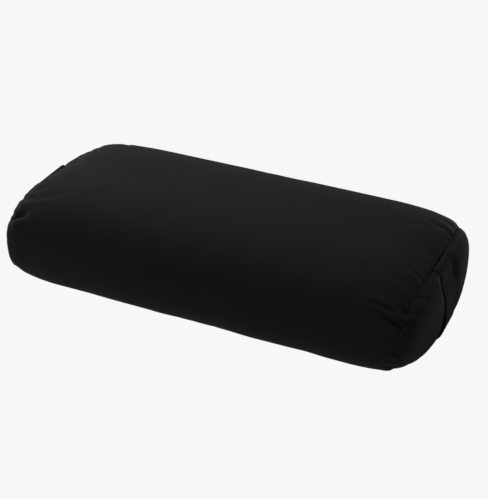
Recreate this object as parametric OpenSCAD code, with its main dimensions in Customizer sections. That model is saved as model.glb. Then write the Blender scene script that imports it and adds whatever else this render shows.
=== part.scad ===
// Rectangular bolster pillow, on its broad side.
// A zipped black cover holds a lined cushion of batting round a foam slab.
// Origin: middle of the underside. +X runs along the length, +Y to the zipped back, +Z up.

/* [Cushion] */
// Length between the two end seams
seam_length = 620; // [560:1:700]
// Width from front to back
cushion_width = 300; // [280:1:340]
// Height at the crown
cushion_height = 164; // [155:1:190]
// Height of the end panels at their seam
end_height = 121; // [116:1:130]
// Height of the end panels' middle above the floor
end_middle = 76; // [72:1:80]
// How far an end panel bulges past its seam
end_bulge = 27; // [20:1:36]
// How square the cross-section is: 2 is an ellipse
squareness = 3.2; // [2.8:0.1:3.6]

/* [Cover] */
// Thickness of the cover fabric
cloth = 1.2; // [0.8:0.1:1.4]
// Length of the seam allowance turned inside at each end
seam_allowance = 10; // [8:1:14]

/* [Carry handles] */
// Width of a handle strap
strap_width = 50; // [38:1:56]
// Thickness of a handle strap, two layers of cloth
strap_thick = 2.4; // [1.8:0.1:3]
// Slack that stands off the end panel at the strap's middle
strap_slack = 1; // [0.5:0.5:4]

/* [Zipper] */
// Length of the opening in the cover
opening_length = 488; // [400:1:500]
// Gap between the two cloth lips
lip_gap = 4; // [3.6:0.1:5]
// Width of one tape, from the middle of the coil
tape_width = 13; // [12:1:14]
// Distance from one coil element to the next on the same tape
coil_pitch = 1.5; // [1.5:0.1:2]
// Length of the pull tab beyond its pivot
pull_length = 30; // [24:1:36]

/* [Filling] */
// Length of the foam slab
foam_length = 600; // [540:1:604]
// Width of the foam slab
foam_width = 230; // [200:1:236]
// Thickness of the foam slab
foam_height = 70; // [50:1:74]

/* [Hidden] */

// Cushion shape
half_seam = seam_length / 2;
half_width = cushion_width / 2;
sink = 4;                                   // how far the weight flattens the underside
crown_half = (cushion_height + sink) / 2;
crown_middle = (cushion_height - sink) / 2;
end_half = end_height / 2;
taper = 6;                                  // power of the fall in height towards the ends
dome_power = 2.5;                           // roundness of the end panels
corner_steps = 6;                           // points on each half of a section's corner
station_steps = 8;                          // stations from the middle to a seam
dome_steps = [0, 0.01, 0.04, 0.1, 0.2, 0.34, 0.5, 0.7, 0.94];

// Clearances between layers, from the cover's outer face inwards
seam_gap = 0.8;                             // groove between the sleeve and an end panel
skirt_gap = 0.5;                            // between the sleeve and an end panel's seam allowance
skirt_inset = cloth + skirt_gap;
liner_gap = 0.6;
liner_inset = skirt_inset + cloth + liner_gap;
liner_cloth = 0.8;
liner_setback = 3;                          // from an end seam to the liner's own end
liner_length = seam_length - 2 * liner_setback;
batting_gap = 1.2;
batting_inset = liner_inset + liner_cloth + batting_gap;
batting_setback = 1;                        // from the liner's end to the wrap's
batting_length = liner_length - 2 * batting_setback;
foam_gap = 0.3;
rim_inset = 0.3;                            // how far an end panel's rim stands in from the sleeve

strap_gap = 0.6;                            // between an end panel and its strap

// Threads
thread_radius = 0.25;
stitch_pitch = 4;
stitch_length = 3;
thread_lift = thread_radius + 0.08;         // centre of a stitch above the cloth it lies on

// Zipper, built round its middle line on the back face
zip_y = half_width;
zip_z = crown_middle;
tape_thick = 0.6;
tape_end = 6;                               // tape left past each end of the opening
tape_edge = 1;                              // gap from the middle line to a tape's inner edge
tape_rise = 2.2;                            // width over which a tape comes up to the cloth lip
coil_half = 3;
coil_thick = 2.2;
tooth_width = 0.66;
tooth_reach = 0.6;
tooth_root = 0.7;
plate_gap = 0.2;                            // between the cloth lips and the slider's upper plate
plate_thick = 0.7;
slide_gap = 0.3;                            // room for the tapes and the coils in the slider
plate_top = cloth + plate_gap;              // depths below the cover's outer face, down to coil_bottom
coil_top = plate_top + plate_thick + plate_gap;
coil_bottom = coil_top + coil_thick;
tape_deep = coil_bottom + 0.1;
plate_bottom = tape_deep + tape_thick + slide_gap;
tape_high = cloth + 0.5;                    // flat part that the cloth lips are sewn to
lip_seam = 6.5;                             // distance from the middle line to a topstitch
plate_length = 11;
plate_width = 8.4;
plate_radius = 1.6;
post_radius = 0.75;
post_forward = 3.6;
stop_length = 2.4;
stop_half = 2.6;
slider_setback = 13;
slider_x = opening_length / 2 - slider_setback;     // closed, near the opening's +X end
coil_end_x = slider_x - 2;
coil_setback = 9;
coil_start_x = coil_setback - opening_length / 2;
stop_gap = 0.5;
top_stop_x = slider_x + plate_length / 2 + stop_gap;
crown_width = 2.6;
crown_length = 9;
crown_rise = 3.4;
crown_wall = 0.9;
crown_sink = 0.4;                           // how far the crown's window reaches into the upper plate
pivot_rise = 1.3;                           // pull's pivot above the cover's outer face
pivot_radius = 0.7;
pull_width = 8;
pull_thick = 1.2;
pull_window = 6.2;                          // length of the two arms that pass the crown
pull_arm = 1;
pull_side_gap = 1.4;                        // from the crown's side to an arm's middle
relief_depth = 4.4;                         // how far the zipper presses the filling in
relief_half = 22;

// Care label
label_x = 140;
label_length = 50;
label_width = 30;
label_thick = 0.4;
label_gap = 0.3;

// Colours
cover_black = [0.03, 0.03, 0.03];
thread_black = [0.05, 0.05, 0.05];
metal_black = [0.06, 0.06, 0.06];
label_white = [0.85, 0.85, 0.83];
muslin = [0.88, 0.86, 0.8];
batting_white = [0.94, 0.93, 0.9];
foam_yellow = [0.93, 0.88, 0.66];

// ---- Shape functions ----

function superellipse(v, n) = pow(1 - pow(v, n), 1 / n);

// A quarter of the unit section, from [1, 0] up to just before [0, 1].
corner_mid = pow(0.5, 1 / squareness);
quarter = concat(
    [for (i = [0:corner_steps - 1]) let (v = corner_mid * i / corner_steps)
        [superellipse(v, squareness), v]],
    [for (i = [0:corner_steps - 1]) let (u = corner_mid * (1 - i / corner_steps))
        [u, superellipse(u, squareness)]]);

unit_section = concat(
    quarter,
    [for (p = quarter) [-p.y, p.x]],
    [for (p = quarter) [-p.x, -p.y]],
    [for (p = quarter) [p.y, -p.x]]);

function fall(x) = pow(min(1, abs(x) / half_seam), taper);
function half_height(x) = crown_half + (end_half - crown_half) * fall(x);
function middle_height(x) = crown_middle + (end_middle - crown_middle) * fall(x);

// How far the zipper presses the filling in at height z of station x.
function relief(x, z) = relief_depth * (1 - fall(x)) * exp(-pow((z - zip_z) / relief_half, 4));

// The section at station x, inset from the cover's outer face. The underside is flat on the floor.
function section(x, inset, pressed = 0) =
    [for (p = unit_section) let (z = middle_height(x) + (half_height(x) - inset) * p.y)
        [x, (half_width - inset) * p.x - (p.x > 0.5 ? pressed * relief(x, z) : 0), max(inset, z)]];

stations = [for (i = [-station_steps:station_steps]) sin(90 * i / station_steps)];

// A sleeve's sections stand at the same stations whatever its length, so that layers stay parallel.
function sleeve_rings(length, inset, pressed = 0) =
    [for (t = stations) section(sign(t) * min(abs(t) * half_seam, length / 2), inset, pressed)];

function reversed(list) = [for (i = [len(list) - 1:-1:0]) list[i]];

// How far an end panel stands past its seam, s of the way from its rim to its middle.
function dome_rise(s) = end_bulge * sqrt(1 - pow(1 - s, dome_power));

// A ring of the right end panel, skin below its outer face.
function dome_ring(s, skin) =
    [for (p = unit_section) [
        half_seam + seam_gap + dome_rise(s) - skin,
        (half_width - rim_inset - skin) * (1 - s) * p.x,
        end_middle + (end_half - rim_inset - skin) * (1 - s) * p.y]];

function dome_rings(skin, first = 0) =
    [for (i = [first:len(dome_steps) - 1]) dome_ring(dome_steps[i], skin)];

// The strap's rest line, v from -1 at the lower seam to 1 at the upper one, lifted off the panel.
function strap_point(v, lift) =
    let (bend = pow(abs(v), dome_power),
         slope = -end_bulge * dome_power * sign(v) * bend
             / (2 * max(abs(v), 0.001) * sqrt(1 - bend)),
         run = norm([slope, end_half]),
         away = lift + strap_slack * (1 - v * v))
    [half_seam + seam_gap + end_bulge * sqrt(1 - bend) + away * end_half / run,
     end_middle + end_half * v - away * slope / run];

// ---- Shape modules ----

// Skins a row of equal rings. Open rows are capped, closed ones join their last ring to the first.
module skin_rings(rings, closed = false) {
    count = len(rings[0]);
    rows = len(rings);
    last = closed ? rows - 1 : rows - 2;
    sides = [for (r = [0:last], i = [0:count - 1])
        let (next = (r + 1) % rows, j = (i + 1) % count)
        each [[r * count + i, next * count + i, next * count + j],
              [r * count + i, next * count + j, r * count + j]]];
    caps = closed ? [] : [
        [for (i = [0:count - 1]) i],
        [for (i = [count - 1:-1:0]) (rows - 1) * count + i]];
    polyhedron([for (ring = rings) each ring], concat(caps, sides), convexity = 6);
}

// A thread lying along X, Y or any direction, centred on its middle.
module stitch(at, direction) {
    turn = atan2(direction.y, direction.x);
    tilt = atan2(norm([direction.x, direction.y]), direction.z);
    translate(at) rotate([0, tilt, turn])
        cylinder(h = stitch_length, r = thread_radius, center = true, $fn = 16);
}

// A flat plate facing +Y, with rounded corners, from depth to depth + thick below the cover's face.
module back_plate(length, height, radius, depth, thick) {
    translate([0, zip_y - depth, zip_z]) rotate([90, 0, 0]) linear_extrude(height = thick) {
        square([length - 2 * radius, height], center = true);
        square([length, height - 2 * radius], center = true);
        for (x = [-1, 1], z = [-1, 1])
            translate([x * (length / 2 - radius), z * (height / 2 - radius)])
                circle(r = radius, $fn = 32);
    }
}

module back_box(x, z, depth, size) {
    translate([x - size.x / 2, zip_y - depth - size.y, zip_z + z - size.z / 2]) cube(size);
}

// ---- Cover ----

module cover_sleeve() {
    color(cover_black) difference() {
        skin_rings(concat(
            sleeve_rings(seam_length, 0),
            reversed(sleeve_rings(seam_length, cloth))), closed = true);
        back_box(0, 0, -cloth, [opening_length, 4 * cloth, lip_gap]);
    }
}

module end_panel_right() {
    color(cover_black) skin_rings(concat(
        reversed(dome_rings(0)),
        [section(half_seam + seam_gap, skirt_inset),
         section(half_seam - seam_allowance, skirt_inset),
         section(half_seam - seam_allowance, skirt_inset + cloth),
         section(half_seam + seam_gap, skirt_inset + cloth)],
        dome_rings(cloth, first = 2)));
}

module end_panel_left() {
    mirror([1, 0, 0]) end_panel_right();
}

// The lockstitch thread that runs in the groove round the right end.
module end_seam_thread_right() {
    x = half_seam + seam_gap / 2;
    middle = cloth / 2;
    color(thread_black) skin_rings([
        section(x - thread_radius, middle),
        section(x, middle - thread_radius),
        section(x + thread_radius, middle),
        section(x, middle + thread_radius)], closed = true);
}

module end_seam_thread_left() {
    mirror([1, 0, 0]) end_seam_thread_right();
}

// ---- Carry handles ----

module handle_strap_right() {
    steps = 14;
    reach = 0.998;                          // the strap stops at the seam groove
    line = [for (i = [-steps:steps]) reach * sin(90 * i / steps)];
    color(cover_black) translate([0, strap_width / 2, 0]) rotate([90, 0, 0])
        linear_extrude(height = strap_width) polygon(concat(
            [for (v = line) strap_point(v, strap_gap)],
            reversed([for (v = line) strap_point(v, strap_gap + strap_thick)])));
}

module handle_strap_left() {
    mirror([1, 0, 0]) handle_strap_right();
}

module handle_stitching_right() {
    edge = 4;
    reach = 0.84;
    rows = floor(end_half * reach / stitch_pitch);
    lift = strap_gap + strap_thick + thread_lift;
    color(thread_black) for (side = [-1, 1], i = [-rows:rows]) {
        v = i * stitch_pitch / end_half;
        here = strap_point(v, lift);
        ahead = strap_point(v + 0.01, lift);
        stitch([here.x, side * (strap_width / 2 - edge), here.y], [ahead.x - here.x, 0, ahead.y - here.y]);
    }
}

module handle_stitching_left() {
    mirror([1, 0, 0]) handle_stitching_right();
}

// ---- Zipper ----

// One tape: flat under the coil, then up to the cloth lip that it is sewn to. side is 1 above, -1 below.
module zipper_tape(side) {
    flat_end = plate_width / 2 + 2 * slide_gap;
    rise_end = flat_end + tape_rise;
    length = opening_length + 2 * tape_end;
    face = [[tape_edge, tape_deep], [flat_end, tape_deep], [rise_end, tape_high], [tape_width, tape_high]];
    profile = concat(face, reversed([for (p = face) p + [0, tape_thick]]));
    color(cover_black) translate([-length / 2, zip_y, zip_z]) rotate([90, 0, 90])
        linear_extrude(height = length) polygon([for (p = profile) [-p.y, side * p.x]]);
}

module zipper_tape_upper() {
    zipper_tape(1);
}

module zipper_tape_lower() {
    zipper_tape(-1);
}

// One coil, its elements reaching between those of the other coil.
module zipper_coil(side) {
    count = floor((coil_end_x - coil_start_x) / coil_pitch);
    first = coil_start_x + (side > 0 ? coil_pitch : coil_pitch / 2);
    teeth = [for (i = [0:count - 2]) let (x = first + i * coil_pitch) each [
        [x - tooth_width / 2, side * tooth_root], [x - tooth_width / 2, -side * tooth_reach],
        [x + tooth_width / 2, -side * tooth_reach], [x + tooth_width / 2, side * tooth_root]]];
    ends = [[coil_end_x, side * tooth_root], [coil_end_x, side * coil_half],
            [coil_start_x, side * coil_half], [coil_start_x, side * tooth_root]];
    color(metal_black) translate([0, zip_y - coil_top, zip_z]) rotate([90, 0, 0])
        linear_extrude(height = coil_thick) polygon(concat(teeth, ends));
}

module zipper_coil_upper() {
    zipper_coil(1);
}

module zipper_coil_lower() {
    zipper_coil(-1);
}

// A clamp crimped on the tape's inner edge.
module tape_clamp(x, z, height) {
    wall = 0.6;
    fit = 0.05;
    depth = coil_top + slide_gap;
    difference() {
        back_box(x, z, depth, [stop_length, tape_deep + tape_thick + wall - depth, height]);
        for (side = [-1, 1]) back_box(x, side * (tape_edge + tape_width / 2) - side * fit,
            tape_deep - fit, [2 * stop_length, tape_thick + 2 * fit, tape_width]);
    }
}

module zipper_top_stops() {
    color(metal_black) for (side = [-1, 1])
        tape_clamp(top_stop_x + stop_length / 2, side * (stop_half + 0.4) / 2, stop_half - 0.4);
}

module zipper_bottom_stop() {
    color(metal_black) tape_clamp(coil_start_x - stop_length, 0, 2 * stop_half);
}

module zipper_slider() {
    channel = plate_bottom - plate_top - plate_thick;
    rail = 0.6;
    rail_length = 7;
    rail_drop = tape_deep - slide_gap - plate_top - plate_thick;
    color(metal_black) translate([slider_x, 0, 0]) {
        for (depth = [plate_top, plate_bottom])
            back_plate(plate_length, plate_width, plate_radius, depth, plate_thick);
        translate([post_forward, zip_y - plate_top - plate_thick / 2, zip_z]) rotate([90, 0, 0])
            cylinder(h = channel + plate_thick, r = post_radius, $fn = 32);
        for (side = [-1, 1]) back_box(0, side * (plate_width - rail) / 2, plate_top + plate_thick / 2,
            [rail_length, rail_drop + plate_thick / 2, rail]);
        // The crown: an arch that the pull's bar turns in.
        difference() {
            back_box(0, 0, -crown_rise,
                [crown_length, crown_rise + plate_top + plate_thick / 2, crown_width]);
            back_box(0, 0, -crown_rise + crown_wall,
                [crown_length - 2 * crown_wall, crown_rise + crown_sink - crown_wall, 2 * crown_width]);
        }
    }
}

// The pull: a bar through the crown, two arms past it and a tab, lying along -X at rest.
module zipper_pull() {
    bar_length = crown_width + 2 * pull_side_gap;
    neck = bar_length + pull_arm;
    hole_x = pull_length - pull_width / 2;
    color(metal_black) translate([slider_x, zip_y + pivot_rise, zip_z]) {
        cylinder(h = bar_length, r = pivot_radius, center = true, $fn = 32);
        for (side = [-1, 1])
            translate([-pull_window - pull_arm, -pull_thick / 2, (side * bar_length - pull_arm) / 2])
                cube([pull_window + pull_arm, pull_thick, pull_arm]);
        rotate([90, 0, 0]) translate([0, 0, -pull_thick / 2])
            linear_extrude(height = pull_thick) difference() {
                union() {
                    translate([-hole_x, 0]) circle(d = pull_width, $fn = 48);
                    polygon([[-pull_window, neck / 2], [-hole_x, pull_width / 2],
                             [-hole_x, -pull_width / 2], [-pull_window, -neck / 2]]);
                }
                translate([-hole_x, 0]) circle(d = pull_width / 2, $fn = 32);
            }
    }
}

module zipper_topstitching() {
    count = floor((opening_length / 2 - stitch_pitch) / stitch_pitch);
    color(thread_black) for (side = [-1, 1], i = [-count:count])
        stitch([i * stitch_pitch, zip_y + thread_lift, zip_z + side * lip_seam], [1, 0, 0]);
}

// A blank woven label, sewn flat on the inside of the cover's underside.
module care_label() {
    color(label_white) translate([label_x, -label_width / 2, cloth + label_gap])
        cube([label_length, label_width, label_thick]);
}

// ---- Lined cushion ----

module liner_sleeve() {
    color(muslin) skin_rings(concat(
        sleeve_rings(liner_length, liner_inset, 1),
        reversed(sleeve_rings(liner_length, liner_inset + liner_cloth, 1))), closed = true);
}

module liner_end_right() {
    color(muslin) skin_rings(concat(
        reversed(dome_rings(liner_inset)), dome_rings(liner_inset + liner_cloth, first = 1)));
}

module liner_end_left() {
    mirror([1, 0, 0]) liner_end_right();
}

// The slanting hand stitches that close the liner's filling slot.
module liner_closing_stitches() {
    half_count = 18;
    color(muslin) for (i = [-half_count:half_count])
        stitch([i * stitch_pitch, 0, liner_inset - thread_lift], [1, 1, 0]);
}

module batting_wrap() {
    color(batting_white) difference() {
        skin_rings(sleeve_rings(batting_length, batting_inset, 1));
        translate([-half_seam, -foam_width / 2 - foam_gap, crown_middle - foam_height / 2 - foam_gap])
            cube([seam_length, foam_width + 2 * foam_gap, foam_height + 2 * foam_gap]);
    }
}

module batting_end_right() {
    color(batting_white) skin_rings(concat(
        reversed(dome_rings(batting_inset, first = 1)),
        [section(batting_length / 2 + batting_gap, batting_inset + batting_gap)]));
}

module batting_end_left() {
    mirror([1, 0, 0]) batting_end_right();
}

module foam_core() {
    color(foam_yellow) translate([-foam_length / 2, -foam_width / 2, crown_middle - foam_height / 2])
        cube([foam_length, foam_width, foam_height]);
}

cover_sleeve();
end_panel_right();
end_panel_left();
end_seam_thread_right();
end_seam_thread_left();
handle_strap_right();
handle_strap_left();
handle_stitching_right();
handle_stitching_left();
zipper_tape_upper();
zipper_tape_lower();
zipper_coil_upper();
zipper_coil_lower();
zipper_top_stops();
zipper_bottom_stop();
zipper_slider();
zipper_pull();
zipper_topstitching();
care_label();
liner_sleeve();
liner_end_right();
liner_end_left();
liner_closing_stitches();
batting_wrap();
batting_end_right();
batting_end_left();
foam_core();
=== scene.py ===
"""Looks of the bolster pillow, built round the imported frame. Every length is in metres.

The cover is one closed net of quads: a sleeve and two end panels. It is shaped by formula, puckered along its
seams and inflated as cloth, then cut along the seams into its pieces. The layers inside are drawn in from it.
"""

import math

import bpy
import numpy as np
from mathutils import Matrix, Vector, noise


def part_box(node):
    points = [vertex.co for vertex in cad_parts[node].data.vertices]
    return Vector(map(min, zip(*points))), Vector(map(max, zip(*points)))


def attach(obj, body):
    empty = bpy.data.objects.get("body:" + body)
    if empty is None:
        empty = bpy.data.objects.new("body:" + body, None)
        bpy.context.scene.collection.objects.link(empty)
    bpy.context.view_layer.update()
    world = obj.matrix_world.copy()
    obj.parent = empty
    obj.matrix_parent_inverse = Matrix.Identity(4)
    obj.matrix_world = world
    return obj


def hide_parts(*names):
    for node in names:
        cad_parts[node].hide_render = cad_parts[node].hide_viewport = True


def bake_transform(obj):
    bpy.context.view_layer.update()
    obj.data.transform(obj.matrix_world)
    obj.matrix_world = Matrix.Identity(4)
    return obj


MM = 0.001

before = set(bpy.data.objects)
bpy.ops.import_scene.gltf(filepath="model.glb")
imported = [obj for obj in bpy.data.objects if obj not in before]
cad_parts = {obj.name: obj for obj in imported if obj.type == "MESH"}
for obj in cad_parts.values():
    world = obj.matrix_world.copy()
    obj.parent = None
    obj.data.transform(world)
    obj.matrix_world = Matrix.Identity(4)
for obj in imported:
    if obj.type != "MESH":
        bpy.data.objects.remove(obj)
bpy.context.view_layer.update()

# ---- Sizes from the frame ----

sleeve_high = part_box("cover_sleeve")[1]
seam_low, seam_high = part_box("end_seam_thread_right")
strap_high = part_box("handle_strap_right")[1]
tape_low, tape_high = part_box("zipper_tape_upper")
lower_tape_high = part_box("zipper_tape_lower")[1]
coil_low, coil_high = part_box("zipper_coil_upper")
foam_low, foam_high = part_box("foam_core")
label_low, label_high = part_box("care_label")

HALF_SEAM = sleeve_high.x
HALF_WIDTH = sleeve_high.y
HEIGHT = sleeve_high.z
END_HALF = (seam_high.z - seam_low.z) / 2
END_MIDDLE = (seam_high.z + seam_low.z) / 2
STRAP_HALF = strap_high.y
ZIP_Z = (tape_low.z + lower_tape_high.z) / 2
TAPE_SIDE = tape_high.z - ZIP_Z  # from the zipper's middle line to a tape's outer edge
TAPE_END = 6 * MM  # how far a tape runs past the opening
OPENING_HALF = tape_high.x - TAPE_END
SIDES = {"right": 1, "left": -1}

# ---- The cover's shape ----

SQUARENESS = 3.23  # power of the superellipse that a section follows
SINK = 4 * MM  # how far the weight flattens the underside
TAPER = 10.5  # power of the fall in height towards the end seams
FLARE = 0.015  # how much wider the cover is at its end seams, as a share
DOME_POWER = 2.5  # roundness of the end panels
PANEL_BULGE = 27 * MM  # how far a panel stands out beside its strap
STRAP_BULGE = 24 * MM  # how far it stands out under its strap
VALLEY_HALF = 36 * MM  # half width of the valley that the strap lies in
TUCK = 7 * MM  # how much deeper that valley is near the strap's upper end,
TUCK_Z = 115 * MM  # at this height
TUCK_REACH = 20 * MM  # and this far above and below it
SEAM_INSET = 2.2 * MM  # how deep the end seams pull in
SEAM_REACH = 7 * MM  # how far from a seam that pull is felt
SEAM_BOW = (-2 * MM, 2.5 * MM)  # how far out a long seam bows, at its corners and in its middle
SHORT_BOW = 0.35  # how far a short seam bows, as a share of that
BOW_REACH = 60 * MM  # how far into the sleeve the bow is felt
CORNER_Y = 0.87 * HALF_WIDTH  # where a long seam's corners stand
LUMP = 0.8 * MM  # height of the filling's slow unevenness
LUMP_SCALE = 11.0  # lumps per metre
FINE_LUMP = 0.4  # height of the finer unevenness on top, as a share
FINE_LUMP_SCALE = 2.7  # how much finer that is

CELLS_LONG = 98  # net cells along the top of a section
CELLS_SHORT = 64  # net cells up the side of a section
CELLS_LENGTH = 132  # net cells from seam to seam
END_CROWDING = 0.5  # how much closer the stations stand near the seams
RING = 2 * (CELLS_LONG + CELLS_SHORT)

CROWN_HALF = (HEIGHT + SINK) / 2
CROWN_MIDDLE = (HEIGHT - SINK) / 2


def smooth(value):
    value = np.clip(value, 0, 1)
    return value * value * (3 - 2 * value)


def unit(vectors):
    return vectors / np.maximum(np.linalg.norm(vectors, axis=-1, keepdims=True), 1e-12)


def signed_power(value, power):
    return np.sign(value) * np.abs(value) ** power


def unit_section(angle):
    """A point of the unit superellipse as (y, z)."""
    return signed_power(np.cos(angle), 2 / SQUARENESS), signed_power(np.sin(angle), 2 / SQUARENESS)


def run_along(points):
    """Distance of each point of a path from its start."""
    steps = np.linalg.norm(np.diff(points, axis=0), axis=1)
    return np.concatenate([[0], np.cumsum(steps)])


def at_runs(where, run, values):
    """Rows of xyz values read off at these distances along a path."""
    return np.stack([np.interp(where, run, values[:, axis]) for axis in range(3)], axis=1)


def numbered(shape):
    """A grid of point indices."""
    return np.arange(math.prod(shape)).reshape(shape)


def looped(index):
    """A grid of point indices whose rows close on themselves."""
    return np.concatenate([index, index[:, :1]], axis=1)


def evenly_spaced(start, end, cells):
    """Angles that split one side of the middle section into equal lengths, without the last."""
    fine = np.linspace(start, end, 600)
    y, z = unit_section(fine)
    run = run_along(np.stack([y * HALF_WIDTH, z * CROWN_HALF], axis=1))
    return np.interp(np.linspace(0, run[-1], cells + 1)[:-1], run, fine)


def ring_angles():
    """Angles of the net's columns. Column 0 is the middle of the back, and they go round over the top."""
    quarter = math.pi / 4
    sides = (
        (-quarter, quarter, CELLS_SHORT),
        (quarter, 3 * quarter, CELLS_LONG),
        (3 * quarter, 5 * quarter, CELLS_SHORT),
        (5 * quarter, 7 * quarter, CELLS_LONG),
    )
    angles = np.concatenate([evenly_spaced(*side) for side in sides])
    angles[angles < -1e-9] += 2 * math.pi
    return np.roll(angles, -CELLS_SHORT // 2)


ANGLES = ring_angles()
UNIT_Y, UNIT_Z = unit_section(ANGLES)


def column_arcs():
    """Distance of each column from column 0, round the middle section, and the whole way round."""
    y = np.append(UNIT_Y, UNIT_Y[0]) * HALF_WIDTH
    z = np.append(UNIT_Z, UNIT_Z[0]) * CROWN_HALF
    run = run_along(np.stack([y, z], axis=1))
    return run[:-1], run[-1]


ARC, GIRTH = column_arcs()
CORNER = {
    "top_back": ARC[CELLS_SHORT // 2],
    "top_front": ARC[CELLS_SHORT // 2 + CELLS_LONG],
    "low_front": ARC[CELLS_SHORT * 3 // 2 + CELLS_LONG],
    "low_back": ARC[CELLS_SHORT * 3 // 2 + CELLS_LONG * 2],
}


def stations():
    """Where the net's sections stand along X, closer together towards the seams."""
    t = np.linspace(-1, 1, CELLS_LENGTH + 1)
    return HALF_SEAM * ((1 - END_CROWDING) * t + END_CROWDING * np.sin(t * math.pi / 2))


def fall(x):
    return np.minimum(1, np.abs(x) / HALF_SEAM) ** TAPER


def section(x):
    """The net's column points at station x."""
    half = CROWN_HALF + (END_HALF - CROWN_HALF) * fall(x)
    middle = CROWN_MIDDLE + (END_MIDDLE - CROWN_MIDDLE) * fall(x)
    width = HALF_WIDTH * (1 + FLARE * fall(x))
    return np.stack([np.full(RING, x), UNIT_Y * width, middle + UNIT_Z * half], axis=1)


def dome_spread():
    """Radii from 0 to 1, and the share of an end panel's curve that lies inside each."""
    fine = np.linspace(0, 1, 2000)
    rise = PANEL_BULGE * np.sqrt(1 - fine ** DOME_POWER)
    run = run_along(np.stack([rise, fine * (END_HALF + HALF_WIDTH) / 2], axis=1))
    return run / run[-1], fine


def rim_cells(rows, cols):
    """The rim cell (i, j) of a panel's grid that meets each sleeve column, in column order."""
    up = [(i, 0) for i in range(rows)]
    across = [(rows, j) for j in range(cols)]
    down = [(i, cols) for i in range(rows, 0, -1)]
    back = [(0, j) for j in range(cols, 0, -1)]
    return np.roll(up + across + down + back, -(rows // 2), axis=0)


def panel_grid(side):
    """Points of the right (side 1) or left (side -1) end panel, as rows up and columns across."""
    rows, cols = CELLS_SHORT, CELLS_LONG
    grid = np.zeros((rows + 1, cols + 1, 2))
    for column, (i, j) in enumerate(rim_cells(rows, cols)):
        grid[i, j] = (UNIT_Y[column], UNIT_Z[column])
    u = np.linspace(0, 1, rows + 1)[:, None, None]
    v = np.linspace(0, 1, cols + 1)[None, :, None]
    across = (1 - v) * grid[:, :1] + v * grid[:, cols:]
    up = (1 - u) * grid[:1] + u * grid[rows:]
    corners = ((1 - u) * (1 - v) * grid[0, 0] + (1 - u) * v * grid[0, cols]
               + u * (1 - v) * grid[rows, 0] + u * v * grid[rows, cols])
    inner = across + up - corners
    radius = (np.abs(inner[..., 0]) ** SQUARENESS + np.abs(inner[..., 1]) ** SQUARENESS) ** (1 / SQUARENESS)
    run, fine = dome_spread()
    spread = np.interp(radius, run, fine) / np.maximum(radius, 1e-6)
    inner = inner * spread[..., None]
    radius = np.minimum(radius * spread, 1)
    y = inner[..., 0] * HALF_WIDTH * (1 + FLARE)
    valley = np.exp(-(np.abs(y) / VALLEY_HALF) ** 6)
    z = END_MIDDLE + inner[..., 1] * END_HALF
    strap_bulge = STRAP_BULGE - TUCK * np.exp(-((z - TUCK_Z) / TUCK_REACH) ** 2)
    bulge = PANEL_BULGE + (strap_bulge - PANEL_BULGE) * valley
    x = side * (HALF_SEAM + bulge * np.sqrt(1 - radius ** DOME_POWER))
    angle = np.arctan2(signed_power(inner[..., 1], SQUARENESS / 2),
                       signed_power(inner[..., 0], SQUARENESS / 2))
    angle[angle < 0] += 2 * math.pi
    arc = np.interp(angle, ANGLES, ARC, period=2 * math.pi)
    rim_y, rim_z = unit_section(angle)
    from_seam = (1 - radius) * np.hypot(rim_y * HALF_WIDTH, rim_z * END_HALF)
    return np.stack([x, y, z], axis=-1), from_seam, arc, radius


# ---- The net ----

# The net's points are one flat list. These grids hold its indices: the sleeve's (station, column), with the
# first column repeated at the end, and each panel's (row, column), with its rim on the sleeve's end rings.


def build_net():
    """The net's points and grids, and each point's distance from its seam, place round it and radius."""
    xs = stations()
    points = [np.concatenate([section(x) for x in xs])]
    sleeve = numbered((CELLS_LENGTH + 1, RING))
    from_seam = [np.repeat(HALF_SEAM - np.abs(xs), RING)]
    arc = [np.tile(ARC, CELLS_LENGTH + 1)]
    radius = [np.ones(sleeve.size)]
    rim = rim_cells(CELLS_SHORT, CELLS_LONG)
    panels = {}
    first = sleeve.size
    for side, station in ((1, CELLS_LENGTH), (-1, 0)):
        grid, panel_from_seam, panel_arc, panel_radius = panel_grid(side)
        inner = numbered((CELLS_SHORT - 1, CELLS_LONG - 1))
        index = np.zeros(grid.shape[:2], int)
        index[1:-1, 1:-1] = first + inner
        index[rim[:, 0], rim[:, 1]] = sleeve[station]
        first += inner.size
        points.append(grid[1:-1, 1:-1].reshape(-1, 3))
        from_seam.append(panel_from_seam[1:-1, 1:-1].ravel())
        arc.append(panel_arc[1:-1, 1:-1].ravel())
        radius.append(panel_radius[1:-1, 1:-1].ravel())
        panels[side] = index
    return (np.concatenate(points), looped(sleeve), panels,
            np.concatenate(from_seam), np.concatenate(arc), np.concatenate(radius))


def grid_faces(index, flip=False):
    """Quads over a grid of point indices."""
    quads = np.stack([index[:-1, :-1], index[:-1, 1:], index[1:, 1:], index[1:, :-1]], axis=-1)
    quads = quads.reshape(-1, 4)
    return quads[:, ::-1] if flip else quads


def normals_of(points, faces):
    """The outward direction at each point, from the quads round it."""
    across = np.cross(points[faces[:, 2]] - points[faces[:, 0]],
                      points[faces[:, 3]] - points[faces[:, 1]])
    total = np.zeros_like(points)
    for corner in range(4):
        np.add.at(total, faces[:, corner], across)
    return unit(total)


base, SLEEVE, PANELS, FROM_SEAM, NET_ARC, RADIUS = build_net()
FACES = np.concatenate([grid_faces(SLEEVE), grid_faces(PANELS[1], flip=True), grid_faces(PANELS[-1])])
IS_SLEEVE = np.arange(len(base)) < SLEEVE.max() + 1
END_SIDE = np.sign(base[:, 0])

# ---- Puckers ----

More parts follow.
